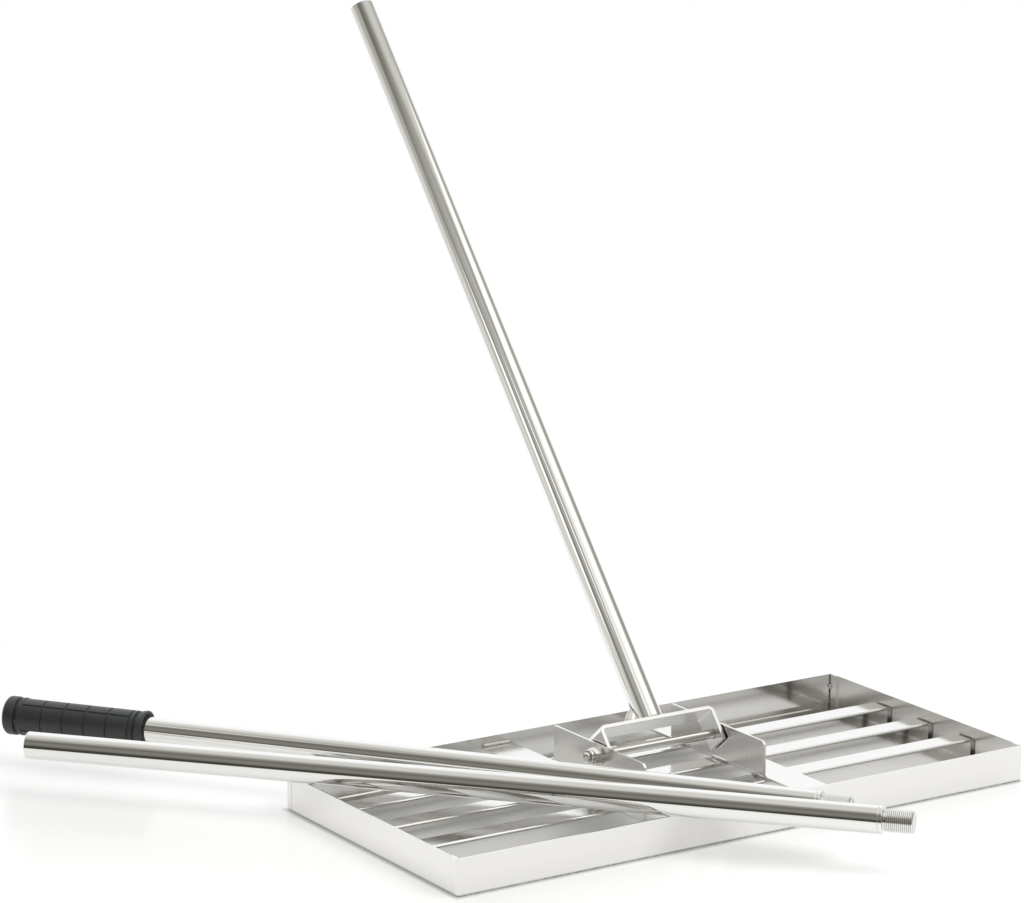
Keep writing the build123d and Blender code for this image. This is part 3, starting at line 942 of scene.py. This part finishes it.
# Greys of the studio by degrees above the horizon, and overhead on all sides
OVERHEAD = ((75, 0.72), (90, 0.73))
LEFT_SKY = ((-90, 0.06), (-12, 0.06), (0, 0.06), (7.5, 0.055), (15, 0.15), (22, 0.24), (37, 0.22))
LEFT_SKY += ((44, 0.165), (51, 0.2), (58, 0.28), (64, 0.38), (69, 0.65))
RIGHT_SKY = ((-90, 0.5), (0, 0.28), (18, 0.32), (28, 0.38), (37, 0.5), (53, 0.65))
BACK_SKY = ((-90, 1.05), (-8, 1.1), (2, 1.05), (10, 1.05), (20, 1.1), (32, 1.12), (46, 1.12), (58, 0.96))
BACK_SKY += ((66, 0.74),)
LEFT_BACK_SKY = ((-90, 0.62), (-14, 0.64), (-8, 0.72), (0, 0.78), (5, 0.76), (12, 0.58), (19, 0.45))
LEFT_BACK_SKY += ((30, 0.48), (40, 0.42), (50, 0.6), (58, 0.9), (66, 0.74))

# Blue that the darkest grey lacks, and the share of that which its green lacks
WARM_CAST = 0.16
GREEN_SHARE = 0.12

# Where one sky turns into another, by the X or Y of the way it is seen
LEFT_TO_RIGHT = (-0.15, 0.3)
FRONT_TO_BACK = (0.1, 0.4)
TO_FAR_LEFT = (-0.4, -0.57)
FAR_LEFT_TO_BACK = (-0.03, 0.14)

# Pieces that some cards are for
IN_TUBE = ("lower_tube_polished",)
IN_YOKE = ("yoke_sheet",)

# Cards: name, place, half sizes as two vectors, glow, shares that fade out, pieces that they show in
CARDS = (
    ("soft_box_card", (0.28, -0.71, 1.3), (0.848, 0.53, 0.0), (-0.318, 0.509, 0.0), 0.62, (0.12, 0.2), ()),
    ("high_strip", (-1.0, 0.29, 0.64), (0.0, 0.15, 0.0), (0.0, 0.0, 0.34), 1.0, (0.6, 0.5), IN_TUBE),
    (
        "near_strip", (-0.58, -0.2, 0.95), (-0.042, 0.033, -0.028), (0.009, 0.135, 0.147),
        1.0, (0.6, 0.5), IN_TUBE,
    ),
    (
        "fill_card", (-0.557, -0.2, 0.96), (-0.385, 0.3025, -0.253), (0.028, 0.405, 0.441),
        0.26, (0.6, 0.6), IN_TUBE,
    ),
    ("low_fill_card", (0.03, 0.04, 0.024), (0.13, 0.0, 0.0), (0.0, 0.085, 0.0), 0.17, (0.4, 0.4), IN_YOKE),
)

# Point that the lamp looks at
LAMP_AIM = (0.0, 0.12, 0.15)

# Walls round the floor inside the head, where less glow paints the head's shadow, and the width of the edge
# between its glow and the glow round it, which paints a dark line along the walls' feet
WALLS = ("front_wall", "back_wall", "left_end_wall", "right_end_wall")
GLOW_EDGE = 5 * MM

# Steps round each corner of the floor sheet
CORNER_STEPS = 16


def ramp_by_height(tree, height, stops):
    """Colour by elevation, from stops of degrees above the horizon and grey, warmer in the dark."""
    made = put(tree, "ShaderNodeValToRGB", {"Fac": height})
    ramp = made.color_ramp.elements
    stops += OVERHEAD
    while len(ramp) < len(stops):
        ramp.new(0.5)
    for element, (degrees, grey) in zip(ramp, stops):
        element.position = (math.sin(math.radians(degrees)) + 1) / 2
        cast = WARM_CAST * (1 - grey)
        element.color = (grey, grey * (1 - GREEN_SHARE * cast), grey * (1 - cast), 1.0)
    return made.outputs["Color"]


def make_studio():
    """World, white to the camera; all else sees it dark at the front left, white behind, grey between."""
    world = bpy.data.worlds.new("studio")
    bpy.context.scene.world = world
    tree = empty_tree(world)
    parts = split(tree, put(tree, "ShaderNodeTexCoord").outputs["Generated"])
    height = reckon(tree, "MULTIPLY_ADD", parts["Z"], 0.5, 0.5)
    skies = (LEFT_SKY, RIGHT_SKY, BACK_SKY, LEFT_BACK_SKY)
    left, right, back, left_back = [ramp_by_height(tree, height, sky) for sky in skies]
    front = blended(tree, remapped(tree, parts["X"], *LEFT_TO_RIGHT), left, right)
    room = blended(tree, remapped(tree, parts["Y"], *FRONT_TO_BACK), front, back)
    far_left = remapped(tree, parts["X"], *TO_FAR_LEFT)
    not_front = remapped(tree, parts["Y"], *FAR_LEFT_TO_BACK)
    room = blended(tree, reckon(tree, "MULTIPLY", far_left, not_front), room, left_back)
    seen = put(tree, "ShaderNodeLightPath").outputs["Is Camera Ray"]
    studio = put(tree, "ShaderNodeBackground", {"Color": room}).outputs[0]
    white = put(tree, "ShaderNodeBackground", {"Color": (1.0, 1.0, 1.0, 1.0)}).outputs[0]
    mixed = put(tree, "ShaderNodeMixShader", {0: seen, 1: studio, 2: white}).outputs[0]
    put(tree, "ShaderNodeOutputWorld", {"Surface": mixed})


def card_material(name, strength, fade):
    """Glow that a card adds to what is behind it, fading towards its edges by shares of its half sizes."""
    made = bpy.data.materials.new(name)
    tree = empty_tree(made)
    parts = split(tree, surface_place(tree))
    glow = strength
    for side, share in zip(("X", "Y"), fade):
        from_middle = reckon(tree, "ABSOLUTE", parts[side])
        glow = reckon(tree, "MULTIPLY", glow, remapped(tree, from_middle, 1.0, 1.0 - share))
    light = put(tree, "ShaderNodeEmission", {"Strength": glow}).outputs[0]
    clear = put(tree, "ShaderNodeBsdfTransparent").outputs[0]
    both = put(tree, "ShaderNodeAddShader", {0: light, 1: clear}).outputs[0]
    put(tree, "ShaderNodeOutputMaterial", {"Surface": both})
    return made


def add_card(name, place, half_width, half_height, material, pieces):
    """Glowing card that shows only in reflections, and only in those of some pieces if they are named."""
    corners = ((-1, -1, 0), (1, -1, 0), (1, 1, 0), (-1, 1, 0))
    card = new_object(name, flat_mesh(name, corners, material))
    facing = Vector(half_width).cross(Vector(half_height)).normalized()
    turn = Matrix((half_width, half_height, facing)).transposed().to_4x4()
    card.matrix_world = Matrix.Translation(place) @ turn
    card.visible_camera = False
    card.visible_diffuse = False
    card.visible_shadow = False
    if pieces:
        lit = bpy.data.collections.new(name + "_lights")
        for piece in pieces:
            lit.objects.link(bpy.data.objects[piece])
        card.light_linking.receiver_collection = lit


def add_cards():
    """Soft box over the front, strips and a fill for the mounted tube, and a low fill for the yoke."""
    for name, place, half_width, half_height, strength, fade, pieces in CARDS:
        glow = card_material(name + "_glow", strength, fade)
        add_card(name, place, half_width, half_height, glow, pieces)


def outside_of(tree, place, low, high, reach):
    """Share that is 0 within a rectangle on the floor and 1 past a short reach round it."""
    parts = split(tree, place)
    shares = []
    for side, least, most in (("X", low.x, high.x), ("Y", low.y, high.y)):
        from_middle = reckon(tree, "ABSOLUTE", reckon(tree, "SUBTRACT", parts[side], (least + most) / 2))
        half = (most - least) / 2
        shares.append(remapped(tree, from_middle, half, half + reach))
    return reckon(tree, "MAXIMUM", *shares)


def head_box():
    """Lowest and highest corner of the four walls of the head."""
    corners = [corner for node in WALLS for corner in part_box(node)]
    return [Vector(pick(values) for values in zip(*corners)) for pick in (min, max)]


def floor_material(stage):
    """White sheet that glows as it is seen, straight or in a reflection, less so inside the head, where that
    paints the head's shadow.
    """
    made, tree, shader, place = new_material("white_sheet")
    path = put(tree, "ShaderNodeLightPath").outputs
    seen = reckon(tree, "MAXIMUM", path["Is Camera Ray"], path["Is Glossy Ray"])
    # Painted shadow: less glow inside the walls of the head, with a dark line along their feet from the edge
    # between
    outside_painted_shadow = outside_of(tree, place, *head_box(), GLOW_EDGE)
    share = reckon(tree, "MULTIPLY_ADD", outside_painted_shadow, 1 - stage.glow_in_painted_shadow, stage.glow_in_painted_shadow)
    lit = reckon(tree, "MULTIPLY", seen, share)
    tree.links.new(reckon(tree, "MULTIPLY", lit, stage.floor_glow), shader["Emission Strength"])
    shader["Emission Color"].default_value = (1.0, 1.0, 1.0, 1.0)
    pale = stage.floor_colour
    mottle = cloudy(tree, place, 6.0, 3.0)
    tree.links.new(blended(tree, mottle, [0.985 * part for part in pale], pale), shader["Base Color"])
    shader["Roughness"].default_value = 0.22
    shader["Specular IOR Level"].default_value = 0.12
    return made


def add_floor(stage):
    """Sheet under the rake, with rounded corners."""
    low, high = cad_box
    radius = stage.floor_margin
    points = []
    corners = ((high.x, high.y, 0), (low.x, high.y, 90), (low.x, low.y, 180), (high.x, low.y, 270))
    for x, y, start in corners:
        for step in range(CORNER_STEPS + 1):
            angle = math.radians(start + 90 * step / CORNER_STEPS)
            points.append((x + radius * math.cos(angle), y + radius * math.sin(angle), 0.0))
    floor = new_object("floor", flat_mesh("floor", points, floor_material(stage)))


def add_lamp(stage):
    """Soft box above the front of the rake."""
    lamp = bpy.data.lights.new("soft_box", "AREA")
    lamp.shape = "SQUARE"
    lamp.size = stage.lamp_size
    lamp.energy = stage.lamp_power
    holder = new_object("soft_box", lamp)
    holder.location = stage.lamp_position
    aim = Vector(LAMP_AIM) - Vector(stage.lamp_position)
    holder.rotation_mode = "QUATERNION"
    holder.rotation_quaternion = aim.to_track_quat("-Z", "Y")
    holder.visible_camera = False
    holder.visible_glossy = False


def add_camera(stage):
    """Camera at the photograph's place."""
    camera = bpy.data.cameras.new("camera")
    camera.sensor_width = 36.0
    camera.lens = stage.lens
    camera.clip_end = 50.0
    holder = new_object("camera", camera)
    turn, tilt = stage.camera_heading, stage.camera_tilt
    ahead = Vector((-math.sin(turn) * math.cos(tilt), math.cos(turn) * math.cos(tilt), -math.sin(tilt)))
    upright = along(stage.camera_position, ahead, "-Z")
    holder.matrix_world = upright @ Matrix.Rotation(stage.camera_roll, 4, "Z")
    bpy.context.scene.camera = holder


class RAKE_OT_stage(Operator):
    """Set the floor, the light and the camera"""

    bl_idname = "rake.stage"
    bl_label = "Set Stage"

    def execute(self, context):
        stage = context.scene.rake_stage
        make_studio()
        add_floor(stage)
        add_lamp(stage)
        add_cards()
        add_camera(stage)
        context.scene.view_settings.view_transform = "Standard"
        return {"FINISHED"}


class RAKE_PT_panel(Panel):
    """Steps and settings of the rake"""

    bl_idname = "RAKE_PT_panel"
    bl_label = "Lawn Leveling Rake"
    bl_space_type = "VIEW_3D"
    bl_region_type = "UI"
    bl_category = "Rake"

    def draw(self, context):
        for step in STEPS:
            self.layout.operator(step.bl_idname)
        for holder in SETTINGS:
            box = self.layout.box()
            values = getattr(context.scene, holder)
            for name in values.__annotations__:
                box.prop(values, name)


SETTINGS = {
    "rake_steel": RakeSteelSettings,
    "rake_screw": RakeScrewSettings,
    "rake_grip": RakeGripSettings,
    "rake_stage": RakeStageSettings,
}
STEPS = (RAKE_OT_finishes, RAKE_OT_sheets, RAKE_OT_welds, RAKE_OT_fasteners)
STEPS += (RAKE_OT_tubes, RAKE_OT_grip, RAKE_OT_stage)


def register():
    """Add the classes and the scene's settings."""
    for kind in (*SETTINGS.values(), *STEPS, RAKE_PT_panel):
        bpy.utils.register_class(kind)
    for name, kind in SETTINGS.items():
        setattr(bpy.types.Scene, name, PointerProperty(type=kind))


def unregister():
    """Take the scene's settings and the classes away again."""
    for name in SETTINGS:
        delattr(bpy.types.Scene, name)
    for kind in reversed((*SETTINGS.values(), *STEPS, RAKE_PT_panel)):
        bpy.utils.unregister_class(kind)


def main():
    """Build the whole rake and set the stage."""
    register()
    bpy.ops.rake.finishes()
    bpy.ops.rake.sheets()
    bpy.ops.rake.welds()
    bpy.ops.rake.fasteners()
    bpy.ops.rake.tubes()
    bpy.ops.rake.grip()
    bpy.ops.rake.stage()


if __name__ == "__main__":
    main()
